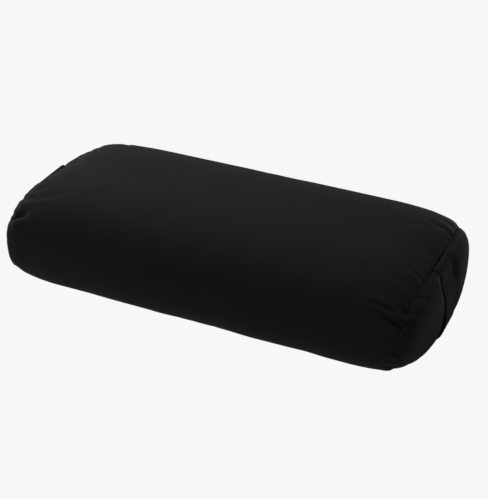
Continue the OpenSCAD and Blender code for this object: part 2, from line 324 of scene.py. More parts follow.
# A crease starts near the seam and runs into the cloth: (corner, offset round the cover where it starts and
# where it stops, distance from the seam where it starts and where it stops, depth, half width), all in mm.
RIGHT_CREASES = (
    ("top_front", 16, 17, 14, 66, 2.6, 2.8),
    ("top_front", 31, 30, 2, 40, 4.2, 4.8),
    ("top_front", 6, 2, 0, 18, 1.8, 3.8),
    ("top_front", 83, 80, 0, 20, 1.2, 3.4),
    ("top_front", -40, -34, 0, 44, 0.5, 7.0),
    ("top_back", 46, 54, 0, 34, 0.6, 6.0),
    ("top_back", 20, 30, 0, 36, 0.7, 6.0),
    ("top_back", -6, -14, 0, 38, 0.7, 5.5),
    ("low_front", -12, -22, 0, 30, 1.8, 5.0),
)
LEFT_CREASES = (
    ("top_front", 5, 13, 0, 34, 7.0, 6.8),
    ("top_front", -21, -18, 2, 34, 1.4, 4.6),
    ("top_front", -42, -40, 0, 36, 1.2, 5.0),
    ("top_back", 22, 28, 0, 34, 1.2, 5.5),
    ("top_back", -8, -16, 0, 38, 2.0, 5.5),
    ("low_front", 6, 14, 0, 30, 1.8, 5.0),
)
BARE_CORNER = "low_back"  # the corner that gets its creases from the random draw, at both ends
PANEL_SHARE = 0.3  # how deep a panel's own puckers are beside the sleeve's
SHOULDER = (0.3, 2.2, 1.3)  # ridge beside a crease: share of its depth, offset and width in half widths
RUN_IN = (6, 9)  # a crease deepens from 6 mm before its start, over 9 mm
FADE_FROM = 0.35  # share of its length after which it fades
STRAP_MARGIN = 8 * MM  # width beside a strap over which the puckers start
ZIPPER_MARGIN = 12 * MM  # width beside a tape over which they start
ZIPPER_END = (10 * MM, 20 * MM)  # past the opening's ends: where they start, and over which length
draw = np.random.default_rng(11)


def drawn_creases(corners):
    """Three creases at each of these corners, and faint puckers every few centimetres of the seam."""
    creases = []
    for corner in corners:
        for offset in (-26, 2, 24):
            start = offset + draw.uniform(-5, 5)
            creases.append((CORNER[corner] / MM + start, CORNER[corner] / MM + start + draw.uniform(-6, 6),
                            0, draw.uniform(22, 42), draw.uniform(1.8, 3.8), draw.uniform(3.6, 4.8)))
    at = draw.uniform(8, 16)
    while at < GIRTH / MM:
        creases.append((at, at + draw.uniform(-4, 4), 0, draw.uniform(10, 34),
                        draw.uniform(0.1, 0.6), draw.uniform(3.6, 6.0)))
        at += draw.uniform(14, 40)
    return creases


def placed(creases):
    """The creases with each corner's name turned into a place round the cover."""
    return [(CORNER[corner] / MM + start, CORNER[corner] / MM + stop, *shape)
            for corner, start, stop, *shape in creases]


def pressed_in(creases, from_seam, arc):
    """How far the creases press the cloth in, at each distance from the seam and place round the cover."""
    total = np.zeros_like(arc)
    for start, stop, near, far, depth, half in creases:
        share = np.clip((from_seam / MM - near) / (far - near), 0, 1)
        across = arc / MM - start - (stop - start) * share
        across = np.abs((across + GIRTH / MM / 2) % (GIRTH / MM) - GIRTH / MM / 2) / half
        along = smooth((from_seam / MM - near + RUN_IN[0]) / RUN_IN[1])
        along *= 1 - smooth((share - FADE_FROM) / (1 - FADE_FROM))
        ridge = SHOULDER[0] * np.exp(-((across - SHOULDER[1]) / SHOULDER[2]) ** 2)
        total += depth * MM * along * (np.exp(-across ** 2) - ridge)
    return total


CREASES = {
    1: placed(RIGHT_CREASES) + drawn_creases([BARE_CORNER]),
    -1: placed(LEFT_CREASES) + drawn_creases([BARE_CORNER]),
}
PANEL_CREASES = {side: drawn_creases(CORNER) for side in SIDES.values()}


def crease_field():
    """How far each net point is pressed in by the creases."""
    pressed = np.zeros(len(base))
    for side in SIDES.values():
        on_sleeve = IS_SLEEVE & (END_SIDE == side)
        on_panel = ~IS_SLEEVE & (END_SIDE == side)
        pressed[on_sleeve] = pressed_in(CREASES[side], FROM_SEAM[on_sleeve], NET_ARC[on_sleeve])
        pressed[on_panel] = PANEL_SHARE * pressed_in(
            PANEL_CREASES[side], FROM_SEAM[on_panel], NET_ARC[on_panel])
    return pressed


def from_strap():
    """0 in the band of each panel that its strap covers, rising to 1 just beside it."""
    return np.where(IS_SLEEVE, 1.0, smooth((np.abs(base[:, 1]) - STRAP_HALF) / STRAP_MARGIN))


def from_zipper():
    """0 in the band that the zipper's tapes are sewn to, rising to 1 above and below it."""
    at_back = IS_SLEEVE & (base[:, 1] > HALF_WIDTH / 2)
    away = smooth((np.abs(base[:, 2] - ZIP_Z) - TAPE_SIDE) / ZIPPER_MARGIN)
    past_end = smooth((np.abs(base[:, 0]) - OPENING_HALF - ZIPPER_END[0]) / ZIPPER_END[1])
    return np.where(at_back, np.maximum(away, past_end), 1.0)


def lumps(points):
    """Slow unevenness of the filling."""
    slow = np.array([noise.noise(Vector(p) * LUMP_SCALE) for p in points])
    fine = np.array([noise.noise(Vector(p) * LUMP_SCALE * FINE_LUMP_SCALE) for p in points])
    return (slow + FINE_LUMP * fine) * LUMP


def seam_bow():
    """How far each net point is carried outward by its end seam's bow."""
    on_top = (NET_ARC > CORNER["top_back"]) & (NET_ARC < CORNER["top_front"])
    below = (NET_ARC > CORNER["low_front"]) & (NET_ARC < CORNER["low_back"])
    middle = np.clip(1 - (np.abs(base[:, 1]) / CORNER_Y) ** 4, 0, 1)
    bow = SEAM_BOW[0] + (SEAM_BOW[1] - SEAM_BOW[0]) * np.where(on_top | below, middle, SHORT_BOW)
    reach = np.where(IS_SLEEVE, 1 - smooth(FROM_SEAM / BOW_REACH), RADIUS ** 3)
    return bow * reach * END_SIDE


# Where the filling has settled at an end, the cover moves with it: (end, middle of the moved part as distance
# out from the seam, y and z, its reach, how far it moves outward and up), in mm.
SETTLED = (
    (1, 9, -134, 28, 31, -10, 0),
    (1, 20, 20, 34, 30, 3, -1),
    (1, 9, 142, 114, 20, -4, -1),
    (-1, -2, -62, 136, 40, 8, 6),
    (-1, 26, -70, 112, 34, -7, -2),
    (-1, 9, -140, 24, 32, -3, 1),
)
SETTLED_ACROSS = 0.6  # a moved part reaches further across the cushion by the inverse of this


def settle(points):
    """How far the filling's uneven settling moves each point."""
    move = np.zeros_like(points)
    for side, outside, y, z, reach, out, lift in SETTLED:
        middle = np.array([side * (HALF_SEAM + outside * MM), y * MM, z * MM])
        away = (points - middle) * np.array([1.0, SETTLED_ACROSS, 1.0]) / (reach * MM)
        share = np.exp(-(away ** 2).sum(axis=1))
        move += share[:, None] * np.array([side * out, 0, lift]) * MM
    return move


normals = normals_of(base, FACES)
creases = crease_field() * from_strap() * from_zipper()
inset = SEAM_INSET * np.exp(-(FROM_SEAM / SEAM_REACH) ** 2)
shaped = base + normals * (lumps(base) * from_zipper() * from_strap() - creases - inset)[:, None]
shaped[:, 0] += seam_bow()
shaped += settle(shaped)
shaped[:, 2] = np.maximum(shaped[:, 2], 0)

# ---- Inflating the cover ----


def new_object(name, points, faces):
    """A mesh object from an array of points and an array or list of faces."""
    mesh = bpy.data.meshes.new(name)
    mesh.from_pydata(points.tolist(), [], [[int(corner) for corner in face] for face in faces])
    mesh.update()
    piece = bpy.data.objects.new(name, mesh)
    bpy.context.scene.collection.objects.link(piece)
    return piece


CLOTH_SETTINGS = {
    "quality": 6,
    "mass": 0.3,
    "tension_stiffness": 25,
    "compression_stiffness": 25,
    "shear_stiffness": 8,
    "bending_stiffness": 0.4,
    "tension_damping": 12,
    "compression_damping": 12,
    "air_damping": 3,
    "vertex_group_mass": "hold",
    "pin_stiffness": 1.0,
    "use_pressure": True,
    "vertex_group_shrink": "full",
    "shrink_min": 0.0,
    "shrink_max": -0.10,         # below 0, the cloth of that group grows by this share
}


def inflate(points, faces, hold, fullness, frames=20, pressure=4.0, cap=12 * MM):
    """The closed net blown up as cloth, moved by no more than cap.

    Points with hold 1 stay put, and fullness gathers extra cloth in.
    """
    net = new_object("cloth_net", points, faces)
    for name, weights in (("hold", hold), ("full", fullness)):
        group = net.vertex_groups.new(name=name)
        for v, weight in enumerate(weights):
            group.add([v], float(weight), "REPLACE")
    cloth = net.modifiers.new("cloth", "CLOTH")
    for setting, value in CLOTH_SETTINGS.items():
        setattr(cloth.settings, setting, value)
    cloth.settings.uniform_pressure_force = pressure
    cloth.settings.effector_weights.gravity = 0
    cloth.collision_settings.use_collision = False
    cloth.collision_settings.use_self_collision = False
    cloth.point_cache.frame_start = 1
    cloth.point_cache.frame_end = frames
    scene = bpy.context.scene
    for step in range(1, frames + 1):
        scene.frame_set(step)
    result = net.evaluated_get(bpy.context.evaluated_depsgraph_get())
    flat = np.zeros(len(points) * 3)
    result.data.vertices.foreach_get("co", flat)
    scene.frame_set(1)
    bpy.data.objects.remove(net)
    move = flat.reshape(-1, 3) - points
    size = np.linalg.norm(move, axis=1, keepdims=True)
    return points + move * np.minimum(1, cap / np.maximum(size, 1e-9))


HOLD_SOFT = 0.08  # how hard the loose cloth is held to its shape
GATHER_REACH = 70 * MM  # how far from a seam the sleeve has extra cloth
PANEL_GATHER_REACH = 30 * MM  # and how far a panel has it
EDGE_CRISPNESS = 0.35  # share of each crease that is pressed in again after inflating

hold = np.full(len(base), HOLD_SOFT)
hold[IS_SLEEVE & (FROM_SEAM < 1e-6)] = 1.0
hold[from_zipper() < 0.5] = 1.0
hold[from_strap() < 0.5] = 1.0
fullness = smooth(1 - FROM_SEAM / np.where(IS_SLEEVE, GATHER_REACH, PANEL_GATHER_REACH))
skin = inflate(shaped, FACES, hold, fullness)
skin = skin - normals_of(skin, FACES) * (creases * EDGE_CRISPNESS)[:, None]
skin[:, 2] = np.maximum(skin[:, 2], 0)
skin_normals = normals_of(skin, FACES)

# ---- Cutting the cover into its pieces ----

CLOTH = 1.2 * MM
SEAM_FOLD = 0.9 * MM  # radius at which cloth turns into a seam
ALLOWANCE = 4.5 * MM  # seam allowance modelled behind that turn
SEAM_GAP = 0.06 * MM  # half the gap between the two cloths of a seam
LIP_HALF = 2 * MM  # half the slot between the zipper's cloth lips
LIP_FOLD = 0.6 * MM  # radius at which a lip turns in
LIP_TURN = 0.3 * MM  # allowance modelled behind that turn
LIP_END = 3 * MM  # length over which the slot closes past the opening
CORNER_TURN = 0.3  # how much of a turn is left where two turns meet
STRAP_ROOM = 2.9 * MM  # how much further a panel's edge stands off where the strap passes
FOLD_STEPS = ((1.0, 0.0), (0.5, 0.134), (0.134, 0.5), (0.0, 1.0))  # a quarter turn as (back, down)
FOLD_ROWS = len(FOLD_STEPS) + 1


def folded_rows(edge, back, down, radius, allowance, gap):
    """Rows of points that turn cloth in at an edge. back points into the cloth and down into the cushion."""
    gap, radius, allowance = (np.broadcast_to(value, edge.shape[:-1])[..., None]
                              for value in (gap, radius, allowance))
    rows = [edge + back * (gap + radius * away) + down * radius * deep for away, deep in FOLD_STEPS]
    rows.append(edge + back * (gap + 0.1 * allowance) + down * (radius + allowance))
    return rows


def fold_reach(fold, allowance):
    """How far into the cloth each of those rows lies on the pattern, and past its edge below 0."""
    return np.array([fold, fold * 0.4, 0, -fold * 0.5, -allowance])


def add_uv(mesh, per_point):
    """A UV map in metres from one (u, v) for each point."""
    layer = mesh.uv_layers.new(name="metres")
    loops = np.zeros(len(mesh.loops), int)
    mesh.loops.foreach_get("vertex_index", loops)
    layer.data.foreach_set("uv", np.asarray(per_point, float)[loops].ravel())


def finish_piece(piece, node, material, thickness=None):
    """The piece takes the place of a CAD node, with its material and with cloth thickness added inward."""
    for polygon in piece.data.polygons:
        polygon.use_smooth = True
    piece.data.materials.append(material)
    if thickness:
        shell = piece.modifiers.new("thickness", "SOLIDIFY")
        shell.thickness = thickness
        shell.offset = -1
        shell.use_even_offset = False
    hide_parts(node)


def finish_on_cushion(piece, node, material, thickness=None):
    """The same for a piece that moves with the cushion."""
    finish_piece(piece, node, material, thickness)
    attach(piece, "cushion")


def turned_end(points, point_normals, sleeve, end, fold, allowance):
    """At the seam ring of one end: the rows that turn the sleeve in there, and the way down inside."""
    ring = points[sleeve[end]]
    back = unit(points[sleeve[1 if end == 0 else -2]] - ring)
    down = -point_normals[sleeve[end]]
    return folded_rows(ring, back, down, fold, allowance, SEAM_GAP), down


def cut_sleeve(name, points, point_normals, sleeve, fold, allowance, slot_half, slot_fold):
    """The sleeve as an open grid: both ends folded in at the seams, and slit along its first column.

    Along the zipper's opening the slit widens to a slot between two lips. With slot_half 0 it stays a seam.
    """
    reach = fold_reach(fold, allowance)
    middle = points[sleeve[1:-1]]
    left, left_down = turned_end(points, point_normals, sleeve, 0, fold, allowance)
    right, right_down = turned_end(points, point_normals, sleeve, -1, fold, allowance)
    grid = np.array(left[::-1] + list(middle) + right)
    downs = np.array([left_down] * FOLD_ROWS + list(-point_normals[sleeve[1:-1]]) + [right_down] * FOLD_ROWS)
    run = np.concatenate([reach[::-1] - HALF_SEAM, middle[..., 0].mean(axis=1), HALF_SEAM - reach])
    turned_in = np.ones(len(grid))
    turned_in[:FOLD_ROWS] = turned_in[-FOLD_ROWS:] = CORNER_TURN
    edge = grid[:, 0]
    opening = smooth((OPENING_HALF + LIP_END - np.abs(edge[:, 0])) / LIP_END) * (slot_half > 0)
    gap = SEAM_GAP + (slot_half - SEAM_GAP) * opening
    radius = (fold + (slot_fold - fold) * opening) * turned_in
    turn = (allowance + (LIP_TURN - allowance) * opening) * turned_in
    above, below = (folded_rows(edge, unit(grid[:, column] - edge), downs[:, 0], radius, turn, gap)
                    for column in (1, -2))
    grid = np.stack(above[::-1] + list(np.moveaxis(grid[:, 1:-1], 1, 0)) + below, axis=1)
    girth = np.linspace(0, GIRTH, sleeve.shape[1])[1:-1]
    girth = np.concatenate([reach[::-1], girth, GIRTH - reach])
    piece = new_object(name, grid.reshape(-1, 3), grid_faces(numbered(grid.shape[:2])))
    across, along = np.meshgrid(girth, run)
    add_uv(piece.data, np.stack([along.ravel(), across.ravel()], axis=1))
    return piece


def cut_panel(name, points, point_normals, panel, side, fold, allowance, gap):
    """An end panel with its rim folded in at the seam."""
    rows, cols = panel.shape[0] - 1, panel.shape[1] - 1
    rim = rim_cells(rows, cols)
    inner = np.clip(rim, 1, (rows - 1, cols - 1))
    grid = points[panel]
    edge = grid[rim[:, 0], rim[:, 1]]
    back = unit(grid[inner[:, 0], inner[:, 1]] - edge)
    down = -point_normals[panel[rim[:, 0], rim[:, 1]]]
    rings = folded_rows(edge, back, down, fold, allowance, gap)
    grid[rim[:, 0], rim[:, 1]] = rings[0]
    index = numbered(grid.shape[:2])
    fold_index = looped(np.concatenate([
        index[rim[:, 0], rim[:, 1]][None],
        index.size + numbered((len(rings) - 1, len(rim)))]))
    faces = np.concatenate([grid_faces(index, flip=side > 0), grid_faces(fold_index, flip=side > 0)])
    piece = new_object(name, np.concatenate([grid.reshape(-1, 3)] + rings[1:]), faces)
    place = points[panel][..., 1:].reshape(-1, 2)
    add_uv(piece.data, np.concatenate([place] + [edge[:, 1:]] * (len(rings) - 1)))
    return piece


# ---- Bands, threads and slabs ----

THREAD = 0.28 * MM  # a sewing thread's radius
STITCH_PITCH = 4 * MM
STITCH = 3 * MM
STITCH_POINTS = 7
STITCH_ARCH = 0.6  # below 1, a stitch's arch is fuller than a sine
STITCH_RISE = 1.5  # height of that arch, in thread radii
STITCH_SINK = 0.7  # and how deep its ends lie
BAND_CELLS = 13  # across each half of a band's flat
DIMPLE_DEPTH = 0.35  # share of a band's thickness that its stitches pull in
DIMPLE_WIDTH = 1.4 * MM


def tubes(name, paths, reference, radius, sides=8, closed=False):
    """Round threads along paths, an array of (thread, point, xyz). reference is never along a path."""
    ahead = np.roll(paths, -1, axis=1) - np.roll(paths, 1, axis=1)
    if not closed:
        ahead[:, 0] = paths[:, 1] - paths[:, 0]
        ahead[:, -1] = paths[:, -1] - paths[:, -2]
    ahead = unit(ahead)
    first = unit(np.cross(ahead, np.broadcast_to(reference, paths.shape)))
    second = np.cross(ahead, first)
    turn = np.arange(sides) * 2 * math.pi / sides
    radius = np.broadcast_to(radius, paths.shape[:2])[..., None, None]
    rings = paths[:, :, None] + radius * (
        first[:, :, None] * np.cos(turn)[:, None] + second[:, :, None] * np.sin(turn)[:, None])
    index = numbered(rings.shape[:3])
    walls = np.concatenate([index, index[..., :1]], axis=2)
    if closed:
        walls = looped(walls)
    faces = [face for thread in walls for face in grid_faces(thread).tolist()]
    if not closed:
        faces += index[:, 0, ::-1].tolist() + index[:, -1].tolist()
    return new_object(name, rings.reshape(-1, 3), faces)


def stitch_paths(places, ahead, outward, length, radius):
    """A short arched path for each stitch, whose two ends dip into the cloth."""
    t = np.linspace(0, 1, STITCH_POINTS)[None, :, None]
    lift = STITCH_RISE * np.sin(math.pi * t) ** STITCH_ARCH - STITCH_SINK
    return places[:, None] + ahead[:, None] * (t - 0.5) * length + outward[:, None] * radius * lift


def capped(index):
    """Faces of a closed solid whose rings of points are the rows of a grid."""
    return grid_faces(looped(index)).tolist() + [index[0, ::-1].tolist(), index[-1].tolist()]


def band(name, path, outward, half_width, half_thick, edge_stitch):
    """A flat strap along a path, across Y, with folded edges and a dimple under each row of edge stitches."""
    inner = half_width - half_thick
    turn = np.linspace(0, math.pi / 2, 5)
    across = np.concatenate([np.linspace(0, inner, BAND_CELLS + 1)[:-1], inner + half_thick * np.sin(turn)])
    height = np.concatenate([np.ones(BAND_CELLS), np.cos(turn)])
    from_stitch = (across - (half_width - edge_stitch)) / DIMPLE_WIDTH
    height = height * (1 - DIMPLE_DEPTH * np.exp(-from_stitch ** 2))
    across = np.concatenate([-across[:0:-1], across])
    height = np.concatenate([height[:0:-1], height]) * half_thick
    loop_across = np.concatenate([across, across[-2:0:-1]])
    loop_height = np.concatenate([height, -height[-2:0:-1]])
    rings = (path[:, None] + np.array([0.0, 1.0, 0.0]) * loop_across[:, None]
             + outward[:, None] * loop_height[:, None])
    inside_out = np.cross(path[-1] - path[0], outward[len(outward) // 2])[1] < 0
    faces = capped(numbered(rings.shape[:2]))
    if inside_out:
        faces = [face[::-1] for face in faces]
    piece = new_object(name, rings.reshape(-1, 3), faces)
    along, girth = np.meshgrid(run_along(path), loop_across, indexing="ij")
    add_uv(piece.data, np.stack([along.ravel(), girth.ravel()], axis=1))
    return piece


def slab(name, front, back):
    """A closed solid between two grids of points of the same shape."""
    index = numbered(front.shape[:2])
    behind = index + index.size
    rim = np.concatenate([index[0, :-1], index[:-1, -1], index[-1, :0:-1], index[:0:-1, 0], index[:1, 0]])
    faces = np.concatenate([
        grid_faces(index), grid_faces(behind, flip=True),
        grid_faces(np.stack([rim + index.size, rim]))])
    return new_object(name, np.concatenate([front.reshape(-1, 3), back.reshape(-1, 3)]), faces)


# ---- Materials ----


def new_material(name):
    material = bpy.data.materials.new(name)
    material.use_nodes = True
    material.node_tree.nodes.clear()
    return material, material.node_tree


def add(tree, kind, inputs, output=0, **settings):
    """Adds a shader node and returns one of its outputs. inputs maps sockets to values or outputs."""
    node = tree.nodes.new("ShaderNode" + kind)
    for key, value in settings.items():
        setattr(node, key, value)
    for key, value in inputs.items():
        if isinstance(value, bpy.types.NodeSocket):
            tree.links.new(value, node.inputs[key])
        else:
            node.inputs[key].default_value = value
    return node.outputs[output]


def calc(tree, operation, a, b=0.0):
    return add(tree, "Math", {0: a, 1: b}, operation=operation)


def add_output(tree, surface, kind="Material"):
    output = tree.nodes.new("ShaderNodeOutput" + kind)
    tree.links.new(surface, output.inputs["Surface"])


def spots(tree, scale, detail=2.0, roughness=0.5):
    """Soft noise about 0.5, at a scale in features per metre."""
    return add(tree, "TexNoise", {"Vector": place_of(tree), "Scale": scale, "Detail": detail,
                                  "Roughness": roughness})


def times(tree, a, b):
    return calc(tree, "MULTIPLY", a, b)


def place_of(tree):
    return add(tree, "TexCoord", {}, output="Object")


def bump(tree, strength, distance, height, onto=None):
    """A normal tilted by a height. onto is another bump that this one adds to."""
    inputs = {"Strength": strength, "Distance": distance, "Height": height}
    if onto:
        inputs["Normal"] = onto
    return add(tree, "Bump", inputs, output="Normal")


def finish_material(material, tint, relief, rough, **inputs):
    """Ends the material in one Principled surface. The other inputs are named with underscores for spaces."""
    tree = material.node_tree
    sockets = {"Base Color": tint, "Normal": relief, "Roughness": rough}
    for name, value in inputs.items():
        sockets[name.replace("_", " ")] = value
    add_output(tree, add(tree, "BsdfPrincipled", sockets))
    return material


def between(tree, share, low, high):
    """A share from 0 to 1 turned into a value from low to high."""
    return add(tree, "MapRange", {"Value": share, "To Min": low, "To Max": high})


def tinted(tree, shade, colour):
    """The colour, made lighter or darker by shade."""
    return add(tree, "CombineXYZ", {axis: times(tree, shade, colour[axis]) for axis in range(3)})


def weave(tree, pitch, twill, upright):
    """Height from 0 to 1 of a woven cloth with threads at this pitch. twill is the share of diagonal rib.

    The threads follow the UV map, or X and Z when the cloth stands upright along X and has no map.
    """
    place = place_of(tree) if upright else add(tree, "UVMap", {}, uv_map="metres")
    split = add(tree, "SeparateXYZ", {"Vector": place}).node
    first, second = split.outputs[0], split.outputs[2 if upright else 1]
    turn = 2 * math.pi / pitch
    warp = calc(tree, "SINE", times(tree, first, turn))
    weft = calc(tree, "SINE", times(tree, second, turn))
    both = calc(tree, "ADD", first, second)
    rib = calc(tree, "SINE", times(tree, both, turn / 2))
    plain = times(tree, warp, weft)
    mixed = calc(tree, "ADD", times(tree, plain, 1 - twill), times(tree, rib, twill))
    return add(tree, "MapRange", {"Value": mixed, "From Min": -1.0, "From Max": 1.0})


def woven(name, colour, pitch, twill=0.0, rough=0.85, sheen=0.0, sheen_rough=0.4, depth=0.12 * MM,
          mottle=0.12, nap=0.25 * MM, wear=0.0, upright=False):
    """Cloth: threads in relief, nap, mottled colour, painted shade in the weave's hollows and paler worn
    ridges.
    """
    material, tree = new_material(name)
    cloth_height = weave(tree, pitch, twill, upright)
    patches = spots(tree, 14, detail=3)
    fuzz = spots(tree, 420, detail=2)
    shade = between(tree, patches, 1 - mottle, 1 + mottle)
    # painted shade: the colour darkens in the weave's hollows and lightens on the thread tops
    shade = times(tree, shade, between(tree, cloth_height, 0.92, 1.06))
    shade = times(tree, shade, between(tree, fuzz, 0.85, 1.15))
    ridge = add(tree, "NewGeometry", {}, output="Pointiness")
    worn = add(tree, "MapRange", {"Value": ridge, "From Min": 0.52, "From Max": 0.60,
                                  "To Min": 0.0, "To Max": wear})
    shade = calc(tree, "ADD", shade, worn)
    relief = bump(tree, 0.6, depth, cloth_height)
    relief = bump(tree, 0.5, nap, spots(tree, 160, detail=4), onto=relief)
    gloss = between(tree, fuzz, rough - 0.08, rough + 0.08)
    return finish_material(material, tinted(tree, shade, colour), relief, gloss, Specular_IOR_Level=0.3,
                           Sheen_Weight=sheen, Sheen_Roughness=sheen_rough)


def plied(name, colour, twist=0.8 * MM):
    """Sewing thread: a fine twist along every direction, painted shade in the twist's grooves, and a soft
    shine.
    """
    material, tree = new_material(name)
    ply = add(tree, "TexWave", {"Vector": place_of(tree), "Scale": 0.3 / twist, "Distortion": 2.0,
                                "Detail": 1.0}, output="Fac", bands_direction="DIAGONAL")
    # painted shade: the colour follows the twist, darker in its grooves and lighter on its ridges
    tint = tinted(tree, between(tree, ply, 0.75, 1.2), colour)
    return finish_material(material, tint, bump(tree, 0.6, 0.08 * MM, ply), 0.5, Specular_IOR_Level=0.4)


def moulded(name, colour, worn_colour, metallic, rough, wear_from=0.56):
    """Hard, smooth trim: fine scratches, uneven gloss, and edges worn to a second colour."""
    material, tree = new_material(name)
    patches = spots(tree, 300, detail=3)
    scratches = spots(tree, 2600, detail=4, roughness=0.7)
    ridge = add(tree, "NewGeometry", {}, output="Pointiness")
    edge = add(tree, "MapRange", {"Value": calc(tree, "ADD", ridge, between(tree, patches, -0.02, 0.02)),
                                  "From Min": wear_from, "From Max": wear_from + 0.05})
    tint = add(tree, "MixRGB", {0: edge, 1: (*colour, 1), 2: (*worn_colour, 1)})
    gloss = between(tree, patches, rough - 0.1, rough + 0.12)
    return finish_material(material, tint, bump(tree, 0.15, 0.03 * MM, scratches), gloss, Metallic=metallic)


def fluffy(name, colour, scale, depth, cells=False):
    """Filling: fibres for batting, or open cells for foam, with painted shade in the hollows of the relief.
    """
    material, tree = new_material(name)
    inputs = {"Vector": place_of(tree), "Scale": scale}
    if cells:
        height = add(tree, "TexVoronoi", inputs, output="Distance")
    else:
        height = add(tree, "TexNoise", {**inputs, "Detail": 6.0, "Distortion": 3.0})
    # painted shade: the colour follows the relief's height, darker in its hollows; the slow spots are random
    # tone
    shade = times(tree, between(tree, height, 0.8, 1.1), between(tree, spots(tree, 20), 0.93, 1.05))
    return finish_material(material, tinted(tree, shade, colour), bump(tree, 0.7, depth, height), 0.95,
                           Sheen_Weight=0.2, Specular_IOR_Level=0.1)


BLACK = (0.0125, 0.0123, 0.0121)
cover_cloth = woven("brushed_black_twill", BLACK, 0.7 * MM, twill=0.6, sheen=0.25, sheen_rough=0.45,
                    wear=0.25)
strap_cloth = woven("black_strap_twill", BLACK, 0.6 * MM, twill=0.7, sheen=0.2, sheen_rough=0.45, wear=0.3)
black_thread = plied("black_thread", (0.02, 0.02, 0.02))
tape_cloth = woven("black_tape_weave", (0.011, 0.011, 0.011), 0.5 * MM, twill=0.4, rough=0.7, nap=0.05 * MM,
                   upright=True)
coil_nylon = moulded("black_nylon", (0.015, 0.015, 0.015), (0.03, 0.03, 0.03), 0.0, 0.35)
trim_metal = moulded("black_enamelled_metal", (0.02, 0.02, 0.02), (0.3, 0.27, 0.22), 0.6, 0.35)
label_satin = woven("white_label_satin", (0.8, 0.8, 0.77), 0.3 * MM, twill=0.8, rough=0.5, nap=0.03 * MM)
muslin = woven("natural_muslin", (0.75, 0.7, 0.6), 0.6 * MM, mottle=0.06, nap=0.15 * MM)
natural_thread = plied("natural_thread", (0.75, 0.7, 0.6))
batting_fibre = fluffy("batting_fibre", (0.86, 0.85, 0.8), 260, 0.8 * MM)
foam_cells = fluffy("open_cell_foam", (0.83, 0.72, 0.4), 900, 0.4 * MM, cells=True)

# ---- Cover pieces ----

cover = cut_sleeve("cover_sleeve_cloth", skin, skin_normals, SLEEVE, SEAM_FOLD, ALLOWANCE, LIP_HALF, LIP_FOLD)
finish_on_cushion(cover, "cover_sleeve", cover_cloth, CLOTH)

ROOM_BESIDE = (5 * MM, 4 * MM)  # beside a strap: where the room for it ends, and over which width
under_strap = smooth((STRAP_HALF + ROOM_BESIDE[0] - np.abs(UNIT_Y) * HALF_WIDTH) / ROOM_BESIDE[1])
for name, side in SIDES.items():
    panel = cut_panel(f"end_panel_{name}_cloth", skin, skin_normals, PANELS[side], side, SEAM_FOLD, ALLOWANCE,
                      SEAM_GAP + STRAP_ROOM * under_strap)
    finish_on_cushion(panel, f"end_panel_{name}", cover_cloth, CLOTH)

WAVE_POINTS = 6  # path points in each stitch of a seam's thread
WAVE = 0.35 * MM
THREAD_DEPTH = 0.2 * MM  # below the turn of the cloth


def seam_thread(name, side):
    """The seam's lockstitch thread, showing as a fine wave at the bottom of the groove."""
    columns = SLEEVE[-1 if side > 0 else 0]
    run = run_along(skin[columns])
    count = round(run[-1] / STITCH_PITCH)
    fine = np.linspace(0, run[-1], count * WAVE_POINTS + 1)[:-1]
    depth = SEAM_FOLD + THREAD_DEPTH + WAVE * np.cos(2 * math.pi * np.arange(len(fine)) / WAVE_POINTS)
    path = at_runs(fine, run, skin[columns]) - at_runs(fine, run, skin_normals[columns]) * depth[:, None]
    return tubes(name, path[None], np.array([side, 0.0, 0.0]), THREAD, 6, closed=True)


for name, side in SIDES.items():
    thread = seam_thread(f"end_seam_thread_{name}_wave", side)
    finish_on_cushion(thread, f"end_seam_thread_{name}", black_thread)

# ---- Carry straps ----

STRAP_THICK = 2.4 * MM
STRAP_LIFT = 0.5 * MM  # between a panel and its strap
EDGE_STITCH = 4 * MM  # from a strap's edge to its row of stitches
STITCH_END = 9 * MM  # from a strap's end to its first stitch
STITCH_DEPTH = 0.7  # share of a strap's half thickness that its stitches lie at
STRAP_END = (5 * MM, 1 * MM)  # how far inside a seam a strap's end and its turn lie
STRAP_POINTS = 110
STRAP_ROUNDS = 4  # times that a strap's path is smoothed


def strap_path(side):
    """The strap's middle line from inside the lower seam, over the panel, into the upper seam.

    Also the outward direction at its points, and their distances along the line.
    """
    middle = PANELS[side][:, CELLS_LONG // 2]
    over = skin[middle] + skin_normals[middle] * (STRAP_THICK / 2 + STRAP_LIFT)
    step = np.array([side * (SEAM_GAP + STRAP_ROOM / 2), 0.0, 0.0])
    low, high = skin[middle[0]] + step, skin[middle[-1]] + step
    end, turn = (np.array([0.0, 0.0, inside]) for inside in STRAP_END)
    path = np.concatenate([[low + end, low + turn], over[2:-2], [high - turn, high - end]])
    run = run_along(path)
    fine = np.linspace(0, run[-1], STRAP_POINTS)
    path = at_runs(fine, run, path)
    for _ in range(STRAP_ROUNDS):
        path[1:-1] = path[1:-1] / 2 + (path[:-2] + path[2:]) / 4
    path[:, 1] = 0
    ahead = unit(np.gradient(path, axis=0))
    return path, side * np.cross(ahead, np.array([0.0, -1.0, 0.0])), fine


def lift_with_handle(piece):
    """Bakes the piece's place into its mesh."""
    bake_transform(piece)


def strap_stitching(name, path, outward, run):
    """A row of stitches along each edge of a strap."""
    at = np.arange(STITCH_END, run[-1] - STITCH_END, STITCH_PITCH)
    normal = at_runs(at, run, outward)
    ahead = np.cross(normal, np.array([0.0, 1.0, 0.0]))
    rows = []
    for edge in (-1, 1):
        row = at_runs(at, run, path) + normal * STRAP_THICK / 2 * STITCH_DEPTH
        row[:, 1] += edge * (STRAP_HALF - EDGE_STITCH)
        rows.append(stitch_paths(row, ahead, normal, STITCH, THREAD))
    return tubes(name, np.concatenate(rows), np.array([0.0, 1.0, 0.0]), THREAD)


